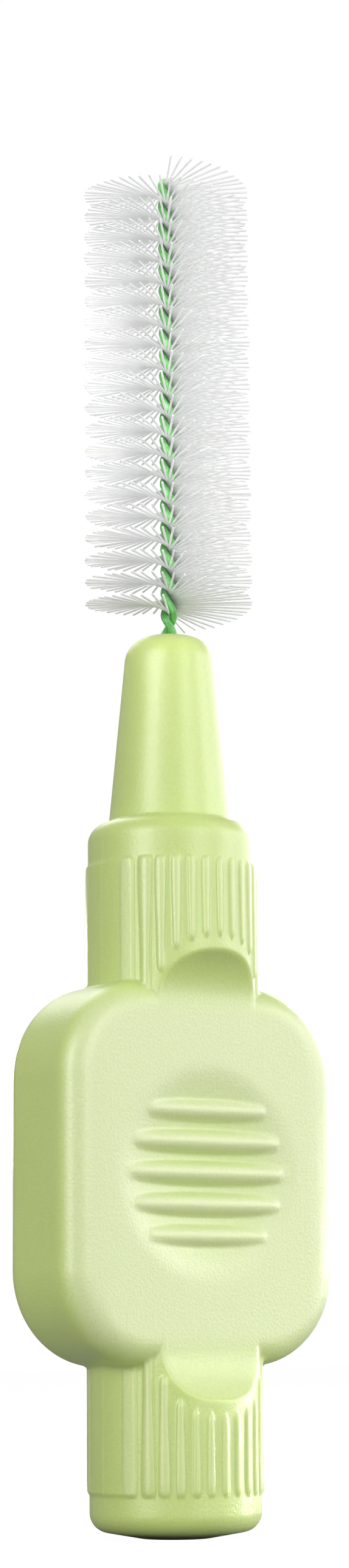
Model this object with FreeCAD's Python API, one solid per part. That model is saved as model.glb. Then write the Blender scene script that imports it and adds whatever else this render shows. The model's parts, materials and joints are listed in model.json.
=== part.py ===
# Interdental brush: a moulded handle, a coated wire twisted into a stem, and fans of clamped filaments.
# Millimetres. The origin is on the axis at the underside of the foot and +Z runs along the stem to the tip.
# X runs across the width of the paddle, and the front of the paddle faces -Y.
import FreeCAD, Part
import math
import os

from FreeCAD import Vector

# Handle, turned outline
foot_flat_radius = 1.15
foot_bevel_height = 0.28
foot_round = 0.62
barrel_radius = 2.74
lower_barrel_length = 5.33
upper_barrel_length = 5.45
shoulder_round = 0.66
shoulder_ledge = 0.035
neck_top_radius = 1.41
neck_length = 6.32
neck_top_round = 0.88

# Handle, paddle between the two barrels
paddle_width = 10.50
paddle_thickness = 4.00
paddle_height = 12.12
paddle_corner_radius = 3.05
paddle_edge_round = 0.85

# Handle, scoops that run the barrels down into the faces of the paddle
scoop_radius = 2.00
scoop_inset = 0.53

# Handle, thumb dish with grip bars on both faces of the paddle
dish_radius = 3.28
dish_depth = 0.34
grip_bar_pitch = 1.00
grip_bar_radius = 0.34
grip_bar_margin = 0.50

# Handle, ribs on the barrels
rib_pitch_deg = 10.5
rib_width = 0.20
side_rib_width = 0.50
rib_height = 0.08
rib_scoop_gap = 0.45
foot_band_length = 1.39
collar_band_length = 1.44
edge_rib_start_deg = 60.9
edge_rib_end_deg = 71.0
side_band_height = 0.06
rib_root_depth = 0.40

# Wire: one hairpin, twisted left-handed
steel_diameter = 0.16
coating_wall = 0.039
coating_clearance = 0.006
twist_pitch = 1.515
twist_phase_deg = -35.0
tail_depth = 3.90
bore_clearance = 0.02
bare_stem_length = 0.80

# Filaments
fan_count = 20
filament_diameter = 0.05
filament_clearance = 0.006
brush_radius = 2.82

# Levels along the axis
paddle_bottom_z = lower_barrel_length
paddle_top_z = paddle_bottom_z + paddle_height
paddle_middle_z = (paddle_bottom_z + paddle_top_z) / 2
shoulder_z = paddle_top_z + upper_barrel_length
neck_top_z = shoulder_z + neck_length
lower_ribs_start_z = foot_band_length
upper_ribs_end_z = shoulder_z - collar_band_length
first_filament_z = neck_top_z + bare_stem_length
fan_height = twist_pitch / 2
filaments_per_fan = int(fan_height / (filament_diameter + filament_clearance))
filament_step_z = fan_height / filaments_per_fan
twist_top_z = first_filament_z + fan_count * fan_height
tail_end_z = neck_top_z - tail_depth

# Sizes that follow from the fits
paddle_face = paddle_thickness / 2
neck_base_radius = barrel_radius - shoulder_round - shoulder_ledge
grip_bar_count = int(2 * (dish_radius - grip_bar_margin) / grip_bar_pitch)
ribs_each_way = int((edge_rib_start_deg - math.degrees(side_rib_width / 2 / barrel_radius)) / rib_pitch_deg)
coating_bore_radius = steel_diameter / 2 + coating_clearance
coating_radius = coating_bore_radius + coating_wall
leg_offset = coating_radius + filament_diameter / 2 + filament_clearance
stem_radius = leg_offset + coating_radius
bore_radius = stem_radius + bore_clearance

AXIS = Vector(0, 0, 1)
ORIGIN = Vector(0, 0, 0)


def rounded_outline(corners):
    """Closed wire in the XZ plane through (x, z, rounding) corners, each rounded by a tangent arc."""
    points = [Vector(x, 0, z) for x, z, rounding in corners]
    edges = []
    arc_starts = []
    arc_ends = []
    arcs = []
    for index, (x, z, rounding) in enumerate(corners):
        corner = points[index]
        back = (points[index - 1] - corner).normalize()
        onward = (points[(index + 1) % len(points)] - corner).normalize()
        half_angle = back.getAngle(onward) / 2
        reach = rounding / math.tan(half_angle)
        middle_direction = (back + onward).normalize()
        middle_distance = rounding / math.sin(half_angle) - rounding
        arc_starts.append(corner + back * reach)
        arc_ends.append(corner + onward * reach)
        arcs.append((rounding > 0, corner + middle_direction * middle_distance))
    for index, (is_round, middle) in enumerate(arcs):
        if is_round:
            edges.append(Part.Arc(arc_starts[index], middle, arc_ends[index]).toShape())
        following = (index + 1) % len(points)
        edges.append(Part.makeLine(arc_ends[index], arc_starts[following]))
    return Part.Wire(edges)


def turned_body():
    """Foot, barrel, shoulder and neck as one solid of revolution."""
    outline = rounded_outline([
        (0, 0, 0),
        (foot_flat_radius, 0, 0),
        (barrel_radius, foot_bevel_height, foot_round),
        (barrel_radius, shoulder_z, shoulder_round),
        (neck_base_radius, shoulder_z, 0),
        (neck_top_radius, neck_top_z, neck_top_round),
        (0, neck_top_z, 0),
    ])
    return Part.Face(outline).revolve(ORIGIN, AXIS, 360)


def paddle():
    """Flat grip with round corners and rounded edges."""
    corner = Vector(-paddle_width / 2, -paddle_face, paddle_bottom_z)
    block = Part.makeBox(paddle_width, paddle_thickness, paddle_height, corner)
    across = [edge for edge in block.Edges if abs(edge.tangentAt(edge.FirstParameter).y) > 0.5]
    plate = block.makeFillet(paddle_corner_radius, across)
    rims = [edge for edge in plate.Edges if edge.BoundBox.YLength < paddle_thickness / 4]
    return plate.makeFillet(paddle_edge_round, rims)


def scoop_run(barrel_angle):
    """Length along the axis that a scoop cuts into the barrel at an angle from the front."""
    depth = barrel_radius * math.cos(barrel_angle) - paddle_face
    if depth <= 0:
        return 0
    depth = min(depth, scoop_radius)
    return math.sqrt(2 * scoop_radius * depth - depth * depth)


def scoop_window():
    """Cutter in front of the paddle: flat over its face, with a quarter round at each end."""
    low_z = paddle_bottom_z + scoop_inset
    high_z = paddle_top_z - scoop_inset
    outer_y = -paddle_face - scoop_radius - barrel_radius

    def on_scoop(level_z, angle):
        y = -paddle_face - scoop_radius * (1 - math.cos(angle))
        return Vector(-barrel_radius, y, level_z + scoop_radius * math.sin(angle))

    quarter = math.pi / 2
    low_start = on_scoop(low_z, 0)
    low_end = on_scoop(low_z, -quarter)
    high_start = on_scoop(high_z, 0)
    high_end = on_scoop(high_z, quarter)
    low_out = Vector(low_end.x, outer_y, low_end.z)
    high_out = Vector(high_end.x, outer_y, high_end.z)
    outline = Part.Wire([
        Part.makeLine(low_start, high_start),
        Part.Arc(high_start, on_scoop(high_z, quarter / 2), high_end).toShape(),
        Part.makeLine(high_end, high_out),
        Part.makeLine(high_out, low_out),
        Part.makeLine(low_out, low_end),
        Part.Arc(low_end, on_scoop(low_z, -quarter / 2), low_start).toShape(),
    ])
    return Part.Face(outline).extrude(Vector(2 * barrel_radius, 0, 0))


def upright_rib(angle, width, start_z, end_z):
    """Flat-topped rib along the barrel, at an angle from the front."""
    depth = rib_root_depth + rib_height
    corner = Vector(-width / 2, -barrel_radius - rib_height, start_z)
    rib = Part.makeBox(width, depth, end_z - start_z, corner)
    rib.rotate(ORIGIN, AXIS, math.degrees(angle))
    return rib


def side_sector(start_deg, end_deg, height, start_z, end_z):
    """Raised sector of the barrel between two angles from the front."""
    sector = Part.makeCylinder(
        barrel_radius + height, end_z - start_z, Vector(0, 0, start_z), AXIS, end_deg - start_deg)
    sector.rotate(ORIGIN, AXIS, start_deg - 90)
    return sector


def barrel_ribs():
    """Ribs on the front of both barrels, wider towards the sides, and edge ribs and bands at the sides."""
    pieces = []
    edge_angle = math.radians(edge_rib_start_deg)
    low_root_z = paddle_bottom_z + paddle_edge_round
    high_root_z = paddle_top_z - paddle_edge_round
    for number in range(-ribs_each_way, ribs_each_way + 1):
        angle = math.radians(number * rib_pitch_deg)
        width = rib_width + (side_rib_width - rib_width) * (angle / edge_angle) ** 2
        run = scoop_run(angle)
        low_end_z = low_root_z
        high_start_z = high_root_z
        if run > 0:
            low_end_z = paddle_bottom_z + scoop_inset - run - rib_scoop_gap
            high_start_z = paddle_top_z - scoop_inset + run + rib_scoop_gap
        pieces.append(upright_rib(angle, width, lower_ribs_start_z, low_end_z))
        pieces.append(upright_rib(angle, width, high_start_z, upper_ribs_end_z))
    for start_z, end_z in ((lower_ribs_start_z, low_root_z), (high_root_z, upper_ribs_end_z)):
        edge_rib = (edge_rib_start_deg, edge_rib_end_deg, rib_height, start_z, end_z)
        pieces.append(side_sector(*edge_rib))
        mirrored_rib = (-edge_rib_end_deg, -edge_rib_start_deg, rib_height, start_z, end_z)
        pieces.append(side_sector(*mirrored_rib))
        band_start_deg = (edge_rib_start_deg + edge_rib_end_deg) / 2
        pieces.append(side_sector(band_start_deg, 180 - band_start_deg, side_band_height, start_z, end_z))
    return pieces


def thumb_dish():
    """Cutter for the shallow round dish in the front face of the paddle."""
    ball_radius = (dish_radius ** 2 + dish_depth ** 2) / (2 * dish_depth)
    centre = Vector(0, -paddle_face + dish_depth - ball_radius, paddle_middle_z)
    return Part.makeSphere(ball_radius, centre)


def grip_bars():
    """Round bars across the dish, level with the face of the paddle and shorter away from its middle."""
    bars = []
    for number in range(grip_bar_count):
        rise = (number - (grip_bar_count - 1) / 2) * grip_bar_pitch
        half_length = math.sqrt(dish_radius ** 2 - rise ** 2) - grip_bar_margin
        y = -paddle_face + grip_bar_radius
        left = Vector(-half_length, y, paddle_middle_z + rise)
        right = Vector(half_length, y, paddle_middle_z + rise)
        bars.append(Part.makeCylinder(grip_bar_radius, 2 * half_length, left, Vector(1, 0, 0)))
        bars.append(Part.makeSphere(grip_bar_radius, left))
        bars.append(Part.makeSphere(grip_bar_radius, right))
    return bars


def turned_to_back(shape):
    """Copy of a front feature, turned half way round the axis."""
    copy = shape.copy()
    copy.rotate(ORIGIN, AXIS, 180)
    return copy


def handle():
    """The whole moulding. The hole in its neck is deep enough for the slanting cut ends of the wire."""
    front_ribs = barrel_ribs()
    back_ribs = [turned_to_back(rib) for rib in front_ribs]
    barrel = turned_body().fuse(front_ribs + back_ribs)
    window = scoop_window()
    barrel = barrel.cut([window, turned_to_back(window)])
    dish = thumb_dish()
    grip = paddle().cut([dish, turned_to_back(dish)])
    bars = grip_bars()
    back_bars = [turned_to_back(bar) for bar in bars]
    core_cut = barrel.cut([dish, turned_to_back(dish)])
    body = core_cut.fuse([grip] + bars + back_bars)
    hole_depth = tail_depth + coating_radius
    wire_hole = Part.makeCylinder(bore_radius, hole_depth, Vector(0, 0, neck_top_z - hole_depth), AXIS)
    return body.cut(wire_hole).removeSplitter()


def leg_point(side, z):
    """Point and upward direction of one leg of the twisted wire. The twist is left-handed."""
    angle = math.radians(twist_phase_deg) - 2 * math.pi * (z - twist_top_z) / twist_pitch
    outward = Vector(math.cos(angle), math.sin(angle), 0) * side
    around = Vector(math.sin(angle), -math.cos(angle), 0) * side
    point = outward * leg_offset + AXIS * z
    direction = around * leg_offset + AXIS * (twist_pitch / (2 * math.pi))
    return point, direction.normalize()


def tangent_arc(start, bend, end):
    """Arc from start to end whose end tangents meet at the point bend."""
    middle = (start + end) / 2
    half_chord = (end - start).Length / 2
    rise = bend - middle
    tilt = math.atan2(rise.Length, half_chord)
    top = middle + rise.normalize() * (half_chord * math.tan(tilt / 2))
    return Part.Arc(start, top, end).toShape()


def biarc(start, start_direction, end, end_direction):
    """Two tangent arcs that join two points in two given directions."""
    span = end - start
    directions = start_direction + end_direction
    spread = 4 - directions.dot(directions)
    lean = span.dot(directions)
    reach = (math.sqrt(lean * lean + spread * span.dot(span)) - lean) / spread
    first_bend = start + start_direction * reach
    last_bend = end - end_direction * reach
    joint = (first_bend + last_bend) / 2
    return [tangent_arc(start, first_bend, joint), tangent_arc(joint, last_bend, end)]


def wire_path():
    """Up one leg in quarter turns, round the hairpin at the tip, and down the other leg."""
    quarter_turns = math.ceil(4 * (twist_top_z - tail_end_z) / twist_pitch)
    levels = []
    for step in range(quarter_turns + 1):
        levels.append(tail_end_z + (twist_top_z - tail_end_z) * step / quarter_turns)
    stations = [leg_point(1, z) for z in levels]
    for z in reversed(levels):
        point, direction = leg_point(-1, z)
        stations.append((point, direction * -1))
    edges = []
    for (start, start_direction), (end, end_direction) in zip(stations, stations[1:]):
        edges.extend(biarc(start, start_direction, end, end_direction))
    return Part.Wire(edges)


def ring_at(path, radius, at_end):
    """Circle of the given radius square to one end of the path."""
    edge = path.Edges[-1] if at_end else path.Edges[0]
    parameter = edge.LastParameter if at_end else edge.FirstParameter
    return Part.Wire(Part.Circle(edge.valueAt(parameter), edge.tangentAt(parameter), radius).toShape())


def steel_wire(path):
    """Round steel wire along the whole path."""
    return path.makePipeShell([ring_at(path, steel_diameter / 2, False)], True, False)


def wire_coating(path):
    """Polymer skin over the wire: outer skin, inner skin and a flat ring at each cut end."""
    outer = path.makePipeShell([ring_at(path, coating_radius, False)], False, False)
    inner = path.makePipeShell([ring_at(path, coating_bore_radius, False)], False, False)
    faces = outer.Faces + inner.Faces
    for at_end in (False, True):
        rim = ring_at(path, coating_radius, at_end)
        hole = ring_at(path, coating_bore_radius, at_end)
        faces.append(Part.Face([rim, hole]))
    skin = Part.Shell(faces)
    skin.sewShape()
    return Part.Solid(skin)


def bristle_fan(number):
    """Filaments of one half turn: straight, through the axis, square to the two legs at their level."""
    filaments = []
    for index in range(filaments_per_fan):
        z = first_filament_z + number * fan_height + (index + 0.5) * filament_step_z
        point, direction = leg_point(1, z)
        radial = Vector(point.x, point.y, 0).normalize()
        along = AXIS.cross(radial)
        start = AXIS * z - along * brush_radius
        filaments.append(Part.makeCylinder(filament_diameter / 2, 2 * brush_radius, start, along))
    return Part.makeCompound(filaments)


def main():
    os.makedirs("parts", exist_ok=True)
    path = wire_path()
    pieces = {"handle": handle(), "steel_wire": steel_wire(path), "wire_coating": wire_coating(path)}
    for number in range(fan_count):
        pieces["bristle_fan_%02d" % (number + 1)] = bristle_fan(number)
    for name, shape in pieces.items():
        shape.exportStep("parts/%s.step" % name)


main()
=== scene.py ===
# Looks of an interdental brush: moulded lime handle, green coated wire and white nylon filaments.
# Metres in the frame, millimetres in the shape functions.
# +Z runs to the tip, and the front of the paddle faces -Y.
import json
import math

import bpy
import numpy as np
from mathutils import Matrix, Vector


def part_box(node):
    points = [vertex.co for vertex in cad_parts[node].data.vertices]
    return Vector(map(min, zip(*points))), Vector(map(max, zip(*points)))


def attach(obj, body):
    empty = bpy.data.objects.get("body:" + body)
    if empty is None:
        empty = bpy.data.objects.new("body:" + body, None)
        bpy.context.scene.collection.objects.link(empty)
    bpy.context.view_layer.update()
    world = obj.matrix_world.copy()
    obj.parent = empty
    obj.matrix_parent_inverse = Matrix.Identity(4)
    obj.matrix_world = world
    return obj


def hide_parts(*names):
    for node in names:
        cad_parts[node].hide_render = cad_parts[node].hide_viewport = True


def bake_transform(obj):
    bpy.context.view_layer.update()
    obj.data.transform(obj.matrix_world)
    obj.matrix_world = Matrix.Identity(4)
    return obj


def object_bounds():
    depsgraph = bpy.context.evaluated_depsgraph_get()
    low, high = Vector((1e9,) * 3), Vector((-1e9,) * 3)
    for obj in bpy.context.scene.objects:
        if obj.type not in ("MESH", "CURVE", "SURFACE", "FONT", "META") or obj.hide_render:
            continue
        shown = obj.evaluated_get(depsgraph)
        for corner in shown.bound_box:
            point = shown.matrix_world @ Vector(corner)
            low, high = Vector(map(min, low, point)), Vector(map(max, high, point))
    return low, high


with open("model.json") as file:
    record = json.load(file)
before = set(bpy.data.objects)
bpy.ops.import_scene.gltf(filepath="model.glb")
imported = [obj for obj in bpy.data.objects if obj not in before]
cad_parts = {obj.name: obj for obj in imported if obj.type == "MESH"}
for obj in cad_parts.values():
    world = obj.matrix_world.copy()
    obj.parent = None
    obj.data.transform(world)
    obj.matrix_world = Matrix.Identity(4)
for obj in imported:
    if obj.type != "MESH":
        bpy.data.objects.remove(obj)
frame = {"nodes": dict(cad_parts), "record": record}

CAD_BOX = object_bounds()
MM = 0.001

# Sizes read from the frame, in millimetres
FAN_NAMES = sorted(name for name in frame["nodes"] if name.startswith("bristle_fan_"))
MOUNTS = {mount["name"]: mount for mount in frame["record"]["mounts"]}
RIB_RADIUS = MOUNTS["cap_seat"]["dims"]["r_mm"]
NECK_TOP_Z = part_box("handle")[1].z / MM
PADDLE_HALF_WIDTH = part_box("handle")[1].x / MM

# Handle, turned outline
FOOT_FLAT_RADIUS = 1.15
FOOT_BEVEL_HEIGHT = 0.28
FOOT_ROUND = 0.62
SHOULDER_Z = 22.90
SHOULDER_ROUND = 0.66
NECK_BASE_RADIUS = 2.045
NECK_BASE_FILLET = 0.14
NECK_TOP_RADIUS = 1.41
NECK_TOP_ROUND = 0.88
WIRE_HOLE_RADIUS = 0.301
WIRE_HOLE_DEPTH = 4.0
WIRE_HOLE_BEVEL = 0.03

# Handle, paddle with its scoops, dishes and grip bars
PADDLE_BOTTOM_Z = 5.33
PADDLE_TOP_Z = 17.45
PADDLE_MIDDLE_Z = (PADDLE_BOTTOM_Z + PADDLE_TOP_Z) / 2
PADDLE_HALF_HEIGHT = (PADDLE_TOP_Z - PADDLE_BOTTOM_Z) / 2
PADDLE_FACE = 2.00
PADDLE_CORNER = 3.05
PADDLE_EDGE_ROUND = 0.85
SCOOP_RADIUS = 2.00
SCOOP_INSET = 0.53
SCOOP_RIM_SOFTNESS = 0.07
ROOT_FILLET = 0.16
ROOT_FILLET_FADE = 0.6
LEAST_FILLET = 0.01
DISH_RADIUS = 3.28
DISH_DEPTH = 0.34
DISH_RIM_SOFTNESS = 0.06
GRIP_BAR_COUNT = 5
GRIP_BAR_PITCH = 1.00
GRIP_BAR_RADIUS = 0.34
GRIP_BAR_MARGIN = 0.50
GRIP_BAR_SOFTNESS = 0.07

# Handle, ribs on the barrels
RIB_PITCH = math.radians(10.5)
RIBS_EACH_WAY = 5
RIB_HEIGHT = 0.08
BARREL_RADIUS = RIB_RADIUS - RIB_HEIGHT
RIB_HALF_WIDTH = 0.10
RIB_WIDENING = 1.5
RIB_TAPER = 0.62
RIB_TAPER_SPAN = (0.5, 3.6)
RIB_FLANK = 0.03
RIB_END_SLOPE = 0.35
RIB_SCOOP_GAP = 0.45
RIB_RUN_IN = 1.0
LOWER_RIBS_START_Z = 1.39
UPPER_RIBS_END_Z = 21.46
EDGE_RIB_START = math.radians(60.9)
EDGE_RIB_END = math.radians(71.0)
SIDE_BAND_HEIGHT = 0.06
PARTING_LINE_HEIGHT = 0.012
PARTING_LINE_HALF_WIDTH = 0.05

# Handle, where the faces are made paler, partly for their grained finish and partly as a painted highlight.
# The face span is in shares of the paddle's half thickness.
FACE_PALENESS_SPAN = (0.62, 0.98)
FACE_PALENESS_END_SPAN = (-0.3, 1.2)
# Painted shade: the dishes lose part of the faces' paleness
DISH_SHADE_RIM = 0.5
DISH_SHADE_DEPTH = 0.25
DISH_PAINTED_SHADE = 0.5
# Painted light: the lower scoops, which face up, are made paler; the upper ones are not
LOWER_SCOOP_PAINTED_LIGHT = 0.5
PAINTED_LIGHT_SCOOP_DEPTH = 0.1

# Handle, its mesh: rows along the barrel as (from, to, count), plain rings, upright lines, and how often
# the search for a radius is halved
BARREL_ROWS = (
    (0.95, 1.27, 3), (1.31, 1.55, 9), (1.8, 3.4, 7), (3.5, 6.085, 48), (6.25, 7.95, 12), (8.05, 14.7, 96),
    (14.85, 16.55, 12), (16.68, 19.32, 49), (19.5, 21.1, 7), (21.3, 21.54, 9), (21.65, 22.1, 3),
)
FOOT_RING_RADII = (0.4, 0.8)
NECK_ROWS = 14
NECK_TOP_RING_RADIUS = 0.45
WIRE_HOLE_RING_DEPTH = 0.5
RIB_GAP_LINES = np.array([0.33, 0.67])
EDGE_GAP_LINES = np.array([0.35, 0.7])
EDGE_RIB_LINES = 6
SIDE_LINES = np.radians([*range(73, 88, 2), 88.3, 89.2])
HALVINGS = 40

# Wire, twisted left-handed, with a hairpin at the tip
TWIST_PITCH = 1.515
TWIST_PHASE = math.radians(-35.0)
STEEL_RADIUS = 0.08
COATING_RADIUS = 0.125
LEG_OFFSET = 0.156
TAIL_LENGTH = 3.90
TAIL_END_Z = NECK_TOP_Z - TAIL_LENGTH
WIRE_STEPS_PER_TURN = 28
HAIRPIN_POINTS = 15
COATING_SIDES = 16
# Span of the painted sheen at the coating's tip
COATING_SHEEN_SPAN = (-0.05, 0.2)
STEEL_SIDES = 10

# Filaments, their tips in shares of the filament's radius and of the brush's radius
FIRST_FILAMENT_Z = 30.02
FILAMENTS_PER_FAN = 24
FILAMENT_RADIUS = 0.036
FILAMENT_SIDES = 8
BRUSH_RADIUS = 2.82
FILAMENT_SCATTER = math.radians(0.4)
FILAMENT_SHORTFALL = 0.03
FILAMENT_SEED = 7
TIP_INSET = np.array([0.0, 0.35, 1.0])
TIP_RADIUS = np.array([0.45, 0.85, 1.0])
TIP_SPAN = (0.965, 0.99)
FAN_HEIGHT = TWIST_PITCH / 2
TWIST_TOP_Z = FIRST_FILAMENT_Z + len(FAN_NAMES) * FAN_HEIGHT

# Camera, placed as the photograph was taken
VIEW_AZIMUTH = math.radians(-35.0)
CAMERA_DISTANCE = 100.0
CAMERA_HEIGHT = 6.0
AIM_HEIGHT = 24.28
AIM_SIDE = 0.14
CAMERA_ROLL = math.radians(-0.45)
FRAME_HEIGHT_AT_AIM = 51.92
SENSOR_WIDTH = 36.0

# Soft boxes round the object: name, degrees from the front towards the right, degrees up, watts
SOFT_BOXES = (
    ("left_box", -74, 10, 0.52),
    ("camera_box", -38, 12, 0.08),
    ("front_box", 5, 12, 0.34),
    ("front_right_box", 50, 5, 0.39),
    ("right_box", 85, 2, 0.27),
    ("rim_box", 120, 4, 0.46),
    ("back_box", 165, 50, 0.24),
    ("high_box", 55, 45, 0.08),
)
SOFT_BOX_SIZE = (0.14, 0.26)
SOFT_BOX_DISTANCE = 0.30

# Small lamps with narrow beams: name, degrees from the front, degrees up, watts, height of the lit place
NARROW_LAMPS = (
    ("brush_lamp", -58, 10, 0.00047, (FIRST_FILAMENT_Z + TWIST_TOP_Z) / 2),
    ("foot_lamp", 75, 6, 0.00022, 1.5),
    ("back_lamp", 160, 8, 0.00018, PADDLE_MIDDLE_Z),
)
NARROW_LAMP_SIZE = (0.012, 0.012)
NARROW_LAMP_DISTANCE = 0.09
NARROW_LAMP_SPREAD = math.radians(12.0)
WORLD_LEVEL = 0.30

# Floor, in metres, with its glow and the share of that glow which the camera sees
FLOOR_HALF_SIZE = 0.6
FLOOR_GLOW = 1.09
FLOOR_WHITENESS = 0.9

# Colours, linear
LIME_DEEP = (0.578, 0.730, 0.178)
LIME_LIGHT = (0.603, 0.750, 0.208)
# Pale speck: partly the plastic's own tone and partly a painted glint
LIME_SPECK_GLINT = (0.680, 0.805, 0.330)
# Face colours: paler partly for the grained finish and partly as a painted highlight
LIME_FACE_DEEP_WITH_HIGHLIGHT = (0.668, 0.773, 0.368)
LIME_FACE_LIGHT_WITH_HIGHLIGHT = (0.728, 0.815, 0.448)
LIME_RIB = (0.68, 0.80, 0.34)
LEAF_DEEP = (0.105, 0.440, 0.090)
LEAF_LIGHT = (0.220, 0.580, 0.190)
# Paler green at the tip: a painted sheen
LEAF_TIP_SHEEN = (0.58, 0.74, 0.52)
STEEL_DARK = (0.50, 0.51, 0.52)
STEEL_LIGHT = (0.62, 0.63, 0.64)
NYLON_DULL = (0.935, 0.935, 0.935)
NYLON_BRIGHT = (0.965, 0.965, 0.965)
# Whiter round ends: a painted highlight
NYLON_TIP_HIGHLIGHT = (0.99, 0.99, 0.99)
FLOOR_DARK = (0.21, 0.21, 0.21)
FLOOR_LIGHT = (0.24, 0.24, 0.24)

# Ranges that noise is stretched from: most of its values, and the middle of them
NOISE_SPAN = (0.3, 0.7)
CLOUD_SPAN = (0.35, 0.65)


def smooth_step(edge_low, edge_high, value):
    """Cubic step: 0 up to the low edge, 1 from the high edge on."""
    t = np.clip((value - edge_low) / (edge_high - edge_low), 0, 1)
    return t * t * (3 - 2 * t)


def smooth_min(a, b, width):
    """Lesser of two fields, with the crease between them rounded over the width."""
    h = np.maximum(width - np.abs(a - b), 0) / width
    return np.minimum(a, b) - h * h * width / 4


def smooth_max(a, b, width):
    """Greater of two fields, with the crease between them rounded over the width."""
    return -smooth_min(-a, -b, width)


def new_mesh_object(name, vertices, faces):
    """Mesh object from points in millimetres and a list of face index arrays."""
    mesh = bpy.data.meshes.new(name)
    face_lists = [face for block in faces for face in block.tolist()]
    mesh.from_pydata((vertices * MM).tolist(), [], face_lists)
    mesh.polygons.foreach_set("use_smooth", np.ones(len(mesh.polygons), bool))
    mesh.update()
    piece = bpy.data.objects.new(name, mesh)
    bpy.context.scene.collection.objects.link(piece)
    return piece


def set_attribute(piece, name, values):
    """Keeps one number per vertex on the mesh, for a material to read."""
    attribute = piece.data.attributes.new(name, "FLOAT", "POINT")
    attribute.data.foreach_set("value", np.asarray(values, np.float32).ravel())


def tube_faces(rows, columns):
    """Quads of a grid that is closed along its columns, each row joined to the next."""
    row, column = np.meshgrid(np.arange(rows - 1), np.arange(columns), indexing="ij")
    following = (column + 1) % columns
    quads = np.stack([
        row * columns + column, row * columns + following,
        (row + 1) * columns + following, (row + 1) * columns + column,
    ], axis=-1)
    return quads.reshape(-1, 4)


def closed_tube(points):
    """Vertices and faces of a tube of rings (rows, columns, 3), each end closed by a fan of triangles."""
    rows, columns, _ = points.shape
    ends = np.stack([points[0].mean(0), points[-1].mean(0)])
    vertices = np.concatenate([points.reshape(-1, 3), ends])
    column = np.arange(columns)
    following = (column + 1) % columns
    first_pole = np.full(columns, rows * columns)
    last_row = (rows - 1) * columns
    bottom = np.stack([first_pole, following, column], axis=-1)
    top = np.stack([first_pole + 1, last_row + column, last_row + following], axis=-1)
    return vertices, [tube_faces(rows, columns), bottom, top]


def arc(centre, radius, start, end, count):
    """Points of a circular arc in the (radius, height) plane, angles from the outward direction."""
    angle = np.linspace(start, end, count)
    return np.stack([centre[0] + radius * np.cos(angle), centre[1] + radius * np.sin(angle)], axis=-1)


def rounded_corner(before, corner, after, radius, count):
    """Arc that rounds a corner of the outline, tangent to the lines to the points before and after it."""
    before, corner, after = (np.asarray(point, float) for point in (before, corner, after))
    back = (before - corner) / np.linalg.norm(before - corner)
    onward = (after - corner) / np.linalg.norm(after - corner)
    half_angle = math.acos(float(np.clip(back @ onward, -1, 1))) / 2
    middle = (back + onward) / np.linalg.norm(back + onward)
    centre = corner + middle * radius / math.sin(half_angle)
    start = corner + back * radius / math.tan(half_angle) - centre
    end = corner + onward * radius / math.tan(half_angle) - centre
    start_angle = math.atan2(start[1], start[0])
    turn = math.atan2(start[0] * end[1] - start[1] * end[0], start @ end)
    return arc(centre, radius, start_angle, start_angle + turn, count)


def outline_rows():
    """Rows of the handle from the middle of the foot to the bottom of the wire hole.

    Each row is (radius, height, shaped). Shaped is 1 where ribs and paddle are added, 0 on a plain circle.
    """
    foot_flat = (FOOT_FLAT_RADIUS, 0.0)
    foot_corner = (BARREL_RADIUS, FOOT_BEVEL_HEIGHT)
    shoulder_corner = (BARREL_RADIUS, SHOULDER_Z)
    neck_base = (NECK_BASE_RADIUS, SHOULDER_Z)
    neck_top = (NECK_TOP_RADIUS, NECK_TOP_Z)
    hole_depths = (WIRE_HOLE_BEVEL, WIRE_HOLE_RING_DEPTH, WIRE_HOLE_DEPTH)
    foot = np.concatenate([
        [(ring, 0.0) for ring in FOOT_RING_RADII],
        [foot_flat],
        rounded_corner(foot_flat, foot_corner, shoulder_corner, FOOT_ROUND, count=11),
    ])
    levels = np.concatenate([np.linspace(*rows) for rows in BARREL_ROWS])
    barrel = np.stack([np.full_like(levels, BARREL_RADIUS), levels], axis=-1)
    cone = np.linspace(neck_base, neck_top, NECK_ROWS)[2:-2]
    upper = np.concatenate([
        rounded_corner(foot_corner, shoulder_corner, (0.0, SHOULDER_Z), SHOULDER_ROUND, count=12)[:-1],
        rounded_corner((BARREL_RADIUS, SHOULDER_Z), neck_base, neck_top, NECK_BASE_FILLET, count=6),
        cone,
        rounded_corner(neck_base, neck_top, (0.0, NECK_TOP_Z), NECK_TOP_ROUND, count=12),
        [(NECK_TOP_RING_RADIUS, NECK_TOP_Z), (WIRE_HOLE_RADIUS + WIRE_HOLE_BEVEL, NECK_TOP_Z)],
        [(WIRE_HOLE_RADIUS, NECK_TOP_Z - depth) for depth in hole_depths],
    ])
    shaped = np.repeat([0.0, 1.0, 0.0], [len(foot), len(barrel), len(upper)])
    return np.column_stack([np.concatenate([foot, barrel, upper]), shaped])


def rib_taper(z):
    """Share of a rib's full width: full at the foot and collar, less towards the paddle."""
    from_paddle = np.abs(z - PADDLE_MIDDLE_Z) - PADDLE_HALF_HEIGHT
    return RIB_TAPER + (1 - RIB_TAPER) * smooth_step(*RIB_TAPER_SPAN, from_paddle)


def rib_half_width(number, z):
    """Half width of a rib, wider towards the sides and narrower towards the paddle."""
    sideways = (number * RIB_PITCH / EDGE_RIB_START) ** 2
    return RIB_HALF_WIDTH * (1 + RIB_WIDENING * sideways) * rib_taper(z)


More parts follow.
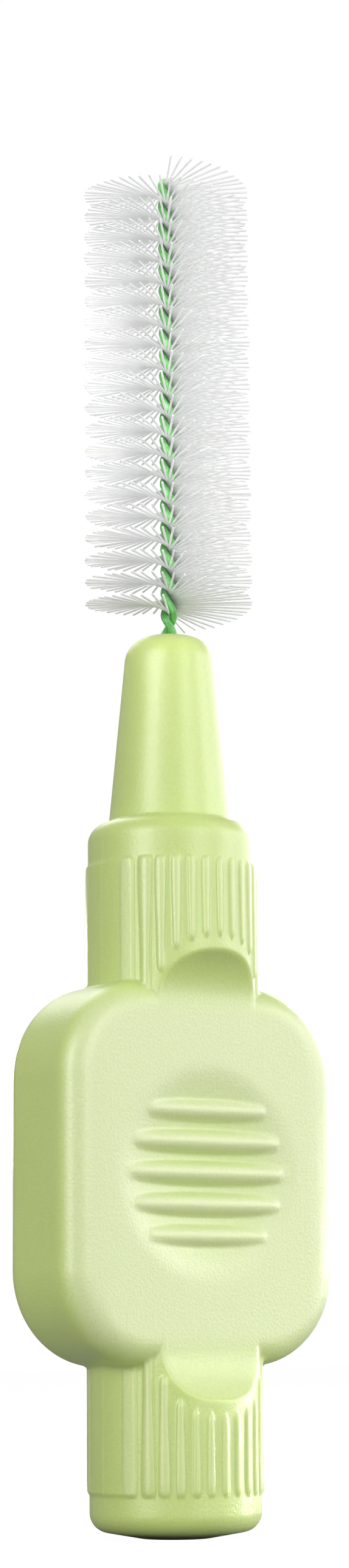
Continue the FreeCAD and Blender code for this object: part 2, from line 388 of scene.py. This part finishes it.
def front_angles(z):
    """Angles of the handle's upright mesh lines over the front half, for each height, as (rows, lines).

    Each rib has lines at its middle, flanks and roots, which follow the taper. Each gap has two lines.
    """
    flank = RIB_FLANK / BARREL_RADIUS
    roots = []
    for number in range(-RIBS_EACH_WAY, RIBS_EACH_WAY + 1):
        half = rib_half_width(number, z) / BARREL_RADIUS
        offsets = [-half - flank, -half, -half + flank, 0 * half, half - flank, half, half + flank]
        roots.append(np.stack([number * RIB_PITCH + offset for offset in offsets], axis=-1))
    lines = [roots[0]]
    for left, right in zip(roots, roots[1:]):
        gap = right[:, :1] - left[:, -1:]
        lines.append(left[:, -1:] + gap * RIB_GAP_LINES)
        lines.append(right)
    edge_start = roots[-1][:, -1:]
    between = edge_start + (EDGE_RIB_START - flank - edge_start) * EDGE_GAP_LINES
    edge = np.concatenate([
        EDGE_RIB_START + flank * np.array([-1, 0, 1]),
        np.linspace(EDGE_RIB_START, EDGE_RIB_END, EDGE_RIB_LINES)[1:-1],
        EDGE_RIB_END + flank * np.array([-1, 0, 1]),
        SIDE_LINES,
    ])
    edge = np.broadcast_to(edge, (len(z), len(edge)))
    right_side = np.concatenate([between, edge], axis=1)
    seam = np.full((len(z), 1), -math.pi / 2)
    return np.concatenate([seam, -right_side[:, ::-1]] + lines + [right_side], axis=1)


def from_face(angle):
    """Angle from the middle of the nearer face of the paddle, up to a quarter turn."""
    return np.abs(np.mod(angle + math.pi / 2, math.pi) - math.pi / 2)


def scoop_reach(angle):
    """How far along the axis a scoop cuts into the barrel at an angle from the front."""
    depth = np.maximum(BARREL_RADIUS * np.cos(angle) - PADDLE_FACE, 0)
    return np.sqrt(2 * SCOOP_RADIUS * depth - depth * depth)


def bar_mask(sideways, half_width, z, low_z, high_z):
    """1 on top of a bar with soft flanks and gently sloping round ends, 0 away from it."""
    past_side = np.abs(sideways) - half_width
    past_end = np.maximum(low_z - z, z - high_z) * RIB_END_SLOPE
    return 1 - smooth_step(-RIB_FLANK, RIB_FLANK, smooth_max(past_side, past_end, RIB_HALF_WIDTH))


def rib_field(angle, z):
    """Masks over the barrel: narrow ribs with the wide edge ribs, and the plain bands at the sides."""
    folded = from_face(angle)
    number = np.clip(np.round(folded / RIB_PITCH), 0, RIBS_EACH_WAY)
    rib_angle = number * RIB_PITCH
    reach = scoop_reach(rib_angle)
    end_inset = np.where(reach > 0, SCOOP_INSET - reach - RIB_SCOOP_GAP, RIB_RUN_IN)
    sideways = (folded - rib_angle) * BARREL_RADIUS
    half_width = rib_half_width(number, z)
    narrow = np.maximum(
        bar_mask(sideways, half_width, z, LOWER_RIBS_START_Z, PADDLE_BOTTOM_Z + end_inset),
        bar_mask(sideways, half_width, z, PADDLE_TOP_Z - end_inset, UPPER_RIBS_END_Z))
    whole_barrel = (LOWER_RIBS_START_Z, UPPER_RIBS_END_Z)
    edge_middle = (EDGE_RIB_START + EDGE_RIB_END) / 2
    edge_half = (EDGE_RIB_END - EDGE_RIB_START) / 2 * BARREL_RADIUS
    edge = bar_mask((folded - edge_middle) * BARREL_RADIUS, edge_half, z, *whole_barrel)
    band_half = (math.pi / 2 - edge_middle) * BARREL_RADIUS
    band = bar_mask((math.pi / 2 - folded) * BARREL_RADIUS, band_half, z, *whole_barrel)
    return np.maximum(narrow, edge), band


def plate_distance(x, y, z):
    """Distance to the paddle: a plate with round corners, its edge rounded all along."""
    corner = PADDLE_CORNER - PADDLE_EDGE_ROUND
    half_width = PADDLE_HALF_WIDTH - PADDLE_CORNER
    half_height = PADDLE_HALF_HEIGHT - PADDLE_CORNER
    across = np.abs(x) - half_width
    along = np.abs(z - PADDLE_MIDDLE_Z) - half_height
    outside = np.hypot(np.maximum(across, 0), np.maximum(along, 0))
    flat = outside + np.minimum(np.maximum(across, along), 0) - corner
    deep = np.abs(y) - (PADDLE_FACE - PADDLE_EDGE_ROUND)
    rounded = np.hypot(np.maximum(flat, 0), np.maximum(deep, 0))
    return rounded + np.minimum(np.maximum(flat, deep), 0) - PADDLE_EDGE_ROUND


def scoop_distance(y, z):
    """Distance outside the scoop: flat over the paddle's face, hollowed by a circle past each end of it."""
    low = PADDLE_BOTTOM_Z + SCOOP_INSET
    high = PADDLE_TOP_Z - SCOOP_INSET
    past = np.maximum(np.maximum(low - z, z - high), 0)
    inward = np.abs(y) - PADDLE_FACE - SCOOP_RADIUS
    hollow = SCOOP_RADIUS - np.hypot(np.minimum(inward, 0), past)
    return np.where(inward > 0, SCOOP_RADIUS - past, hollow)


def dish_distance(x, y, z):
    """Distance inside the ball that hollows a dish into each face of the paddle."""
    ball = (DISH_RADIUS ** 2 + DISH_DEPTH ** 2) / (2 * DISH_DEPTH)
    middle_y = PADDLE_FACE - DISH_DEPTH + ball
    return ball - np.sqrt(x ** 2 + (np.abs(y) - middle_y) ** 2 + (z - PADDLE_MIDDLE_Z) ** 2)


def bar_distance(x, y, z):
    """Distance to the nearest grip bar: a capsule across the dish, level with the face."""
    rise = z - PADDLE_MIDDLE_Z
    most = (GRIP_BAR_COUNT - 1) / 2
    nearest = np.clip(np.round(rise / GRIP_BAR_PITCH), -most, most) * GRIP_BAR_PITCH
    half_length = np.sqrt(DISH_RADIUS ** 2 - nearest ** 2) - GRIP_BAR_MARGIN
    past_end = np.maximum(np.abs(x) - half_length, 0)
    depth = np.abs(y) - (PADDLE_FACE - GRIP_BAR_RADIUS)
    return np.sqrt(past_end ** 2 + depth ** 2 + (rise - nearest) ** 2) - GRIP_BAR_RADIUS


def handle_distance(radius, angle, z, barrel):
    """Field that is zero on the handle: barrel less scoops, joined to the paddle, dished and barred."""
    x = radius * np.sin(angle)
    y = -radius * np.cos(angle)
    scooped = smooth_max(radius - barrel, scoop_distance(y, z), SCOOP_RIM_SOFTNESS)
    fillet = LEAST_FILLET + ROOT_FILLET * smooth_step(0, ROOT_FILLET_FADE, PADDLE_FACE - np.abs(y))
    body = smooth_min(scooped, plate_distance(x, y, z), fillet)
    dished = smooth_max(body, dish_distance(x, y, z), DISH_RIM_SOFTNESS)
    return smooth_min(dished, bar_distance(x, y, z), GRIP_BAR_SOFTNESS)


def grain_and_painted_light_mask(x, y, z, below_barrel):
    """Paleness mask: on the faces, partly grained finish and partly painted highlight; less in their
    dishes, as painted shade; and in the lower scoops, as painted light.
    """
    from_end = np.minimum(z - PADDLE_BOTTOM_Z, PADDLE_TOP_Z - z)
    face = smooth_step(*FACE_PALENESS_SPAN, np.abs(y) / PADDLE_FACE) * smooth_step(*FACE_PALENESS_END_SPAN, from_end)
    # Painted shade: the dishes lose part of the faces' paleness
    from_dish = np.hypot(x, z - PADDLE_MIDDLE_Z) - DISH_RADIUS
    over_dish = 1 - smooth_step(-DISH_SHADE_RIM, 0, from_dish)
    painted_dish_shade = over_dish * smooth_step(0, DISH_SHADE_DEPTH, PADDLE_FACE - np.abs(y))
    # Painted light: only the lower scoops, which face up, are made paler
    lower_scoop_painted_light = LOWER_SCOOP_PAINTED_LIGHT * (z < PADDLE_MIDDLE_Z) * smooth_step(0, PAINTED_LIGHT_SCOOP_DEPTH, below_barrel)
    return np.maximum(face * (1 - DISH_PAINTED_SHADE * painted_dish_shade), lower_scoop_painted_light)


def moulded_handle():
    """The whole handle as one closed surface: a radius for each height and angle round the axis.

    The radius is where the handle's field is zero on the ray from the axis, found for all rays by halving.
    """
    rows = outline_rows()
    radius, height, shaped = rows.T
    front = front_angles(height)
    angle = np.concatenate([front, front + math.pi], axis=1)
    z = np.broadcast_to(height[:, None], angle.shape)
    ribs, bands = rib_field(angle, z)
    on_barrel = shaped[:, None]
    folded = from_face(angle)
    from_parting = (math.pi / 2 - folded) * BARREL_RADIUS
    parting = np.exp(-(from_parting / PARTING_LINE_HALF_WIDTH) ** 2)
    relief = np.maximum(ribs * RIB_HEIGHT, bands * SIDE_BAND_HEIGHT) + parting * PARTING_LINE_HEIGHT
    barrel = radius[:, None] + relief * on_barrel
    inner = np.zeros_like(angle)
    outer = np.full_like(angle, 2 * PADDLE_HALF_WIDTH)
    for _ in range(HALVINGS):
        middle = (inner + outer) / 2
        inside = handle_distance(middle, angle, z, barrel) < 0
        inner = np.where(inside, middle, inner)
        outer = np.where(inside, outer, middle)
    distance = np.where(on_barrel > 0, outer, radius[:, None])
    x = distance * np.sin(angle)
    y = -distance * np.cos(angle)
    vertices, faces = closed_tube(np.stack([x, y, z], axis=-1))
    piece = new_mesh_object("moulded_handle", vertices, faces)
    on_skin = np.abs(distance - barrel) < RIB_FLANK
    poles = np.zeros(2)
    set_attribute(piece, "rib", np.append(ribs * on_barrel * on_skin, poles))
    # Paleness mask: partly the grained finish, partly painted highlight, painted light and painted shade
    grain_and_painted_light = grain_and_painted_light_mask(x, y, z, barrel - distance) * on_barrel
    set_attribute(piece, "grain_and_painted_light", np.append(grain_and_painted_light, poles))
    return piece


def twist_angle(z):
    """Angle of the wire's first leg round the axis at a height, for a left-handed twist."""
    return TWIST_PHASE - 2 * math.pi * (z - TWIST_TOP_Z) / TWIST_PITCH


def leg_path(side, z):
    """Middle line of one leg of the twisted wire: a left-handed helix round the axis."""
    angle = twist_angle(z)
    return np.stack([side * LEG_OFFSET * np.cos(angle), side * LEG_OFFSET * np.sin(angle), z], axis=-1)


def wire_path():
    """Middle line of the whole wire: up one leg, round the hairpin on a cubic curve, and down the other.

    The curve's inner points are 4/3 of the hairpin's radius from its ends, so it is nearly a half circle.
    """
    count = int(WIRE_STEPS_PER_TURN * (TWIST_TOP_Z - TAIL_END_Z) / TWIST_PITCH)
    z = np.linspace(TAIL_END_Z, TWIST_TOP_Z, count)
    up, down = leg_path(1, z), leg_path(-1, z)[::-1]
    reach = 4 / 3 * LEG_OFFSET
    start_direction = (up[-1] - up[-2]) / np.linalg.norm(up[-1] - up[-2])
    end_direction = (down[1] - down[0]) / np.linalg.norm(down[1] - down[0])
    corners = np.stack([
        up[-1], up[-1] + start_direction * reach, down[0] - end_direction * reach, down[0]])
    t = np.linspace(0, 1, HAIRPIN_POINTS)[1:-1, None]
    weights = np.hstack([(1 - t) ** 3, 3 * t * (1 - t) ** 2, 3 * t * t * (1 - t), t ** 3])
    return np.concatenate([up, weights @ corners, down])


def wire_tube(name, radius, sides):
    """Round tube along the wire's middle line. Each ring starts on the side away from the axis."""
    path = wire_path()
    direction = np.gradient(path, axis=0)
    direction /= np.linalg.norm(direction, axis=1, keepdims=True)
    from_axis = path - np.array([0, 0, 1]) * path[:, 2:]
    over_tip = np.clip((path[:, 2:] - TWIST_TOP_Z) / LEG_OFFSET, 0, 1) * np.array([0, 0, 1])
    outward = from_axis / LEG_OFFSET + over_tip
    outward -= direction * np.sum(outward * direction, axis=1, keepdims=True)
    outward /= np.linalg.norm(outward, axis=1, keepdims=True)
    across = np.cross(direction, outward)
    turn = np.linspace(0, 2 * math.pi, sides, endpoint=False)[:, None]
    rings = path[:, None] + radius * (np.cos(turn) * outward[:, None] + np.sin(turn) * across[:, None])
    vertices, faces = closed_tube(rings)
    return new_mesh_object(name, vertices, faces)


def filament_fan(name, number, rng):
    """Straight filaments of one half turn of the twist, each a thin tube through the axis with round ends.

    One filament is a circle carried along a line. All of a fan's filaments are worked out together as
    (filament, ring, corner) arrays.
    """
    index = np.arange(FILAMENTS_PER_FAN)
    z = FIRST_FILAMENT_Z + (number + (index + 0.5) / FILAMENTS_PER_FAN) * FAN_HEIGHT
    angle = twist_angle(z) + math.pi / 2 + rng.normal(0, FILAMENT_SCATTER / 2, FILAMENTS_PER_FAN)
    half_length = BRUSH_RADIUS + rng.uniform(-FILAMENT_SHORTFALL, 0.0, FILAMENTS_PER_FAN)
    lean = rng.normal(0, FILAMENT_SCATTER, FILAMENTS_PER_FAN)
    flat = np.stack([np.cos(angle), np.sin(angle), np.zeros_like(angle)], axis=-1)
    sideways = np.stack([-np.sin(angle), np.cos(angle), np.zeros_like(angle)], axis=-1)
    upright = np.array([0, 0, 1])
    along = flat * np.cos(lean)[:, None] + upright * np.sin(lean)[:, None]
    over = upright * np.cos(lean)[:, None] - flat * np.sin(lean)[:, None]
    inset = np.concatenate([TIP_INSET, [0.0], TIP_INSET[::-1]]) * FILAMENT_RADIUS
    ring_radius = np.concatenate([TIP_RADIUS, [1.0], TIP_RADIUS[::-1]]) * FILAMENT_RADIUS
    end = np.repeat([-1, 0, 1], [len(TIP_INSET), 1, len(TIP_INSET)])
    station = end * (half_length[:, None] - inset)
    turn = np.linspace(0, 2 * math.pi, FILAMENT_SIDES, endpoint=False)
    ring = np.stack([np.cos(turn), np.sin(turn)], axis=-1)
    middle = along[:, None] * station[..., None] + upright * z[:, None, None]
    circle = sideways[:, None, None] * ring[:, :1] + over[:, None, None] * ring[:, 1:]
    points = middle[:, :, None] + circle * ring_radius[:, None, None]
    blocks = [closed_tube(filament) for filament in points]
    size = len(blocks[0][0])
    vertices = np.concatenate([block[0] for block in blocks])
    faces = [face + offset * size for offset, block in enumerate(blocks) for face in block[1]]
    piece = new_mesh_object(name, vertices, faces)
    from_axis = np.hypot(vertices[:, 0], vertices[:, 1]) / BRUSH_RADIUS
    # Tip mask for the painted highlight on the round ends
    set_attribute(piece, "tip", smooth_step(*TIP_SPAN, from_axis))
    return piece


def new_material(name):
    """Empty node material with its Principled shader, as (material, nodes, link function, shader)."""
    material = bpy.data.materials.new(name)
    material.use_nodes = True
    nodes = material.node_tree.nodes
    return material, nodes, material.node_tree.links.new, nodes["Principled BSDF"]


def noise(nodes, link, scale, detail=2.0, stretch=(1, 1, 1)):
    """Noise on Object coordinates, its cells 1/scale metres across, stretched along the axes."""
    place = nodes.new("ShaderNodeTexCoord")
    mapping = nodes.new("ShaderNodeMapping")
    mapping.inputs["Scale"].default_value = stretch
    texture = nodes.new("ShaderNodeTexNoise")
    texture.inputs["Scale"].default_value = scale
    texture.inputs["Detail"].default_value = detail
    link(place.outputs["Object"], mapping.inputs["Vector"])
    link(mapping.outputs["Vector"], texture.inputs["Vector"])
    return texture.outputs["Fac"]


def map_range(nodes, link, value, low, high, to_low, to_high):
    """Number between two limits, carried to two other limits."""
    node = nodes.new("ShaderNodeMapRange")
    node.inputs["From Min"].default_value = low
    node.inputs["From Max"].default_value = high
    node.inputs["To Min"].default_value = to_low
    node.inputs["To Max"].default_value = to_high
    link(value, node.inputs["Value"])
    return node.outputs["Result"]


def multiply(nodes, link, a, b):
    """Product of two numbers."""
    node = nodes.new("ShaderNodeMath")
    node.operation = "MULTIPLY"
    link(a, node.inputs[0])
    link(b, node.inputs[1])
    return node.outputs["Value"]


def mix_colour(nodes, link, factor, a, b):
    """Colour between a and b. Each of them is a colour or the output of another node."""
    node = nodes.new("ShaderNodeMix")
    node.data_type = "RGBA"
    link(factor, node.inputs["Factor"])
    colours = [socket for socket in node.inputs if socket.type == "RGBA"]
    for socket, value in zip(colours, (a, b)):
        if isinstance(value, tuple):
            socket.default_value = (*value, 1.0)
        else:
            link(value, socket)
    return next(socket for socket in node.outputs if socket.type == "RGBA")


def bump(nodes, link, shader, height, strength, distance):
    """Fine relief on the shader from a height, as deep as the distance in metres. Gives the new normal."""
    node = nodes.new("ShaderNodeBump")
    node.inputs["Strength"].default_value = strength
    node.inputs["Distance"].default_value = distance
    link(height, node.inputs["Height"])
    link(node.outputs["Normal"], shader.inputs["Normal"])
    return node.outputs["Normal"]


def attribute(nodes, name):
    """Number kept on the mesh's vertices."""
    node = nodes.new("ShaderNodeAttribute")
    node.attribute_name = name
    return node.outputs["Fac"]


def lime_plastic():
    """Lime moulding: cloudy colour with pale specks, partly its own tone and partly painted glints; paler
    streaked ribs; and faces made paler, partly by a grained finish and partly as a painted highlight.
    """
    material, nodes, link, shader = new_material("lime_plastic")
    cloud = map_range(nodes, link, noise(nodes, link, scale=260, detail=3), *CLOUD_SPAN, 0, 1)
    clouded = mix_colour(nodes, link, cloud, LIME_DEEP, LIME_LIGHT)
    fine = noise(nodes, link, scale=11000)
    # Pale specks over the body and faces: partly the plastic's own tone and partly painted glints
    body = mix_colour(nodes, link, map_range(nodes, link, fine, *NOISE_SPAN, 0, 0.5), clouded, LIME_SPECK_GLINT)
    sparkle = map_range(nodes, link, fine, *NOISE_SPAN, 0, 1)
    # Face colour: paler, partly for the grained finish and partly as a painted highlight
    face = mix_colour(nodes, link, sparkle, LIME_FACE_DEEP_WITH_HIGHLIGHT, LIME_FACE_LIGHT_WITH_HIGHLIGHT)
    grain_and_painted_light = attribute(nodes, "grain_and_painted_light")
    skin = mix_colour(nodes, link, grain_and_painted_light, body, face)
    streak = noise(nodes, link, scale=1500, detail=4, stretch=(1, 1, 0.25))
    wear = map_range(nodes, link, streak, *NOISE_SPAN, 0.35, 1.0)
    worn = multiply(nodes, link, attribute(nodes, "rib"), wear)
    link(mix_colour(nodes, link, worn, skin, LIME_RIB), shader.inputs["Base Color"])
    link(map_range(nodes, link, fine, *NOISE_SPAN, 0.34, 0.46), shader.inputs["Roughness"])
    height = multiply(nodes, link, fine, map_range(nodes, link, grain_and_painted_light, 0, 1, 0.8, 1.0))
    normal = bump(nodes, link, shader, height, strength=0.5, distance=0.00002)
    link(normal, shader.inputs["Coat Normal"])
    shader.inputs["Coat Weight"].default_value = 1.0
    shader.inputs["Coat Roughness"].default_value = 0.42
    shader.inputs["Coat IOR"].default_value = 1.78
    shader.inputs["Subsurface Weight"].default_value = 0.3
    shader.inputs["Subsurface Radius"].default_value = (1.0, 0.95, 0.30)
    shader.inputs["Subsurface Scale"].default_value = 0.0006
    return material


def green_coating():
    """Thin green polymer skin, mottled by the press of the filaments, with a painted sheen that makes it
    paler at the tip.
    """
    material, nodes, link, shader = new_material("green_coating")
    mottle = map_range(nodes, link, noise(nodes, link, scale=9000, detail=3), *NOISE_SPAN, 0, 1)
    leaf = mix_colour(nodes, link, mottle, LEAF_DEEP, LEAF_LIGHT)
    place = nodes.new("ShaderNodeTexCoord")
    split = nodes.new("ShaderNodeSeparateXYZ")
    link(place.outputs["Object"], split.inputs["Vector"])
    # Painted sheen: the coating is made paler towards the hairpin at the tip
    sheen_start, sheen_end = ((TWIST_TOP_Z + step) * MM for step in COATING_SHEEN_SPAN)
    tip = map_range(nodes, link, split.outputs["Z"], sheen_start, sheen_end, 0, 0.7)
    link(mix_colour(nodes, link, tip, leaf, LEAF_TIP_SHEEN), shader.inputs["Base Color"])
    link(map_range(nodes, link, mottle, 0, 1, 0.30, 0.45), shader.inputs["Roughness"])
    bump(nodes, link, shader, mottle, strength=0.3, distance=0.00001)
    return material


def bright_steel():
    """Drawn steel wire with fine lines along it."""
    material, nodes, link, shader = new_material("bright_steel")
    lines = noise(nodes, link, scale=9000, stretch=(1, 1, 0.1))
    link(mix_colour(nodes, link, lines, STEEL_DARK, STEEL_LIGHT), shader.inputs["Base Color"])
    link(map_range(nodes, link, lines, *NOISE_SPAN, 0.25, 0.4), shader.inputs["Roughness"])
    shader.inputs["Metallic"].default_value = 1.0
    return material


def white_nylon():
    """White nylon filament: faintly uneven along its length, with a painted highlight that makes it
    brightest at its round ends.
    """
    material, nodes, link, shader = new_material("white_nylon")
    uneven = map_range(nodes, link, noise(nodes, link, scale=2500), *NOISE_SPAN, 0, 1)
    shaft = mix_colour(nodes, link, uneven, NYLON_DULL, NYLON_BRIGHT)
    # Painted highlight: the round ends are made whiter
    link(mix_colour(nodes, link, attribute(nodes, "tip"), shaft, NYLON_TIP_HIGHLIGHT), shader.inputs["Base Color"])
    link(map_range(nodes, link, uneven, 0, 1, 0.35, 0.5), shader.inputs["Roughness"])
    shader.inputs["Specular IOR Level"].default_value = 0.3
    shader.inputs["Subsurface Weight"].default_value = 1.0
    shader.inputs["Subsurface Radius"].default_value = (1.0, 1.0, 1.0)
    shader.inputs["Subsurface Scale"].default_value = 0.0002
    return material


def whiteness_for_camera(tree):
    """1 for rays that show the background itself: seen by the camera or through glass."""
    path = tree.nodes.new("ShaderNodeLightPath")
    larger = tree.nodes.new("ShaderNodeMath")
    larger.operation = "MAXIMUM"
    tree.links.new(path.outputs["Is Camera Ray"], larger.inputs[0])
    tree.links.new(path.outputs["Is Transmission Ray"], larger.inputs[1])
    return larger.outputs["Value"]


def studio_floor():
    """Pale floor under the foot. It shows nearly white and keeps a soft shadow."""
    half = FLOOR_HALF_SIZE
    corners = [(-half, -half, 0), (half, -half, 0), (half, half, 0), (-half, half, 0)]
    mesh = bpy.data.meshes.new("floor")
    mesh.from_pydata(corners, [], [(0, 1, 2, 3)])
    floor = bpy.data.objects.new("floor", mesh)
    bpy.context.scene.collection.objects.link(floor)
    material, nodes, link, shader = new_material("pale_floor")
    speckle = noise(nodes, link, scale=300)
    link(mix_colour(nodes, link, speckle, FLOOR_DARK, FLOOR_LIGHT), shader.inputs["Base Color"])
    shader.inputs["Roughness"].default_value = 0.9
    white = nodes.new("ShaderNodeEmission")
    white.inputs["Strength"].default_value = FLOOR_GLOW
    mix = nodes.new("ShaderNodeMixShader")
    seen = whiteness_for_camera(material.node_tree)
    link(map_range(nodes, link, seen, 0, 1, 0, FLOOR_WHITENESS), mix.inputs["Fac"])
    link(shader.outputs["BSDF"], mix.inputs[1])
    link(white.outputs["Emission"], mix.inputs[2])
    link(mix.outputs["Shader"], nodes["Material Output"].inputs["Surface"])
    mesh.materials.append(material)


def studio_world():
    """White background, and an even faint light from all round."""
    world = bpy.data.worlds.new("studio")
    bpy.context.scene.world = world
    world.use_nodes = True
    tree = world.node_tree
    soft = tree.nodes["Background"]
    soft.inputs["Color"].default_value = (1, 1, 1, 1)
    level = map_range(tree.nodes, tree.links.new, whiteness_for_camera(tree), 0, 1, WORLD_LEVEL, 1)
    tree.links.new(level, soft.inputs["Strength"])


def lamp(name, azimuth, elevation, power, size, target_z, distance):
    """Rectangular lamp that faces a height on the axis from a direction."""
    light = bpy.data.lights.new(name, "AREA")
    light.shape = "RECTANGLE"
    light.size, light.size_y = size
    light.energy = power
    turn, lift = math.radians(azimuth), math.radians(elevation)
    away = Vector((math.sin(turn) * math.cos(lift), -math.cos(turn) * math.cos(lift), math.sin(lift)))
    holder = bpy.data.objects.new(name, light)
    holder.location = Vector((0, 0, target_z)) + away * distance
    holder.rotation_euler = away.to_track_quat("Z", "Y").to_euler()
    bpy.context.scene.collection.objects.link(holder)
    return light


def studio_lamps():
    """Soft boxes that face the middle of the object, and narrow lamps that face one part of it each."""
    middle = (CAD_BOX[0].z + CAD_BOX[1].z) / 2
    for name, azimuth, elevation, power in SOFT_BOXES:
        lamp(name, azimuth, elevation, power, SOFT_BOX_SIZE, middle, SOFT_BOX_DISTANCE)
    for name, azimuth, elevation, power, height in NARROW_LAMPS:
        narrow = lamp(name, azimuth, elevation, power, NARROW_LAMP_SIZE, height * MM, NARROW_LAMP_DISTANCE)
        narrow.spread = NARROW_LAMP_SPREAD


def photograph_camera():
    """Camera at the photograph's place: turned to the paddle, low, and tilted up along the stem."""
    away = Vector((math.sin(VIEW_AZIMUTH), -math.cos(VIEW_AZIMUTH), 0))
    right = Vector((math.cos(VIEW_AZIMUTH), math.sin(VIEW_AZIMUTH), 0))
    aim = (right * AIM_SIDE + Vector((0, 0, AIM_HEIGHT))) * MM
    place = (right * AIM_SIDE + away * CAMERA_DISTANCE + Vector((0, 0, CAMERA_HEIGHT))) * MM
    lens = bpy.data.cameras.new("camera")
    lens.sensor_width = SENSOR_WIDTH
    lens.lens = SENSOR_WIDTH * (place - aim).length / (FRAME_HEIGHT_AT_AIM * MM)
    lens.clip_start = MM
    camera = bpy.data.objects.new("camera", lens)
    turn = (aim - place).to_track_quat("-Z", "Y").to_matrix() @ Matrix.Rotation(CAMERA_ROLL, 3, "Z")
    camera.matrix_world = Matrix.Translation(place) @ turn.to_4x4()
    bpy.context.scene.collection.objects.link(camera)
    bpy.context.scene.camera = camera


def dress(piece, material, slot, *nodes):
    """Gives a piece its finish and hides the frame nodes that it stands for. The slot is not used."""
    piece.data.materials.append(material)
    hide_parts(*nodes)


def main():
    """Makes every piece with its finish, puts the handle and the filament fans on their bodies, then makes
    the studio and the camera.
    """
    bpy.context.scene.view_settings.view_transform = "Standard"

    handle = moulded_handle()
    dress(handle, lime_plastic(), "lime_plastic", "handle")
    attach(handle, "grip")

    coating = wire_tube("green_wire_coating", COATING_RADIUS, COATING_SIDES)
    dress(coating, green_coating(), "green_coating", "wire_coating")
    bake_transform(coating)
    core = wire_tube("steel_wire_core", STEEL_RADIUS, STEEL_SIDES)
    dress(core, bright_steel(), "wire_steel", "steel_wire")
    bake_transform(core)

    nylon = white_nylon()
    rng = np.random.default_rng(FILAMENT_SEED)
    for number, node in enumerate(FAN_NAMES):
        fan = filament_fan("filament_fan_%02d" % (number + 1), number, rng)
        dress(fan, nylon, "nylon_filament", node)
        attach(fan, "brush_head")

    studio_floor()
    studio_world()
    studio_lamps()
    photograph_camera()


main()
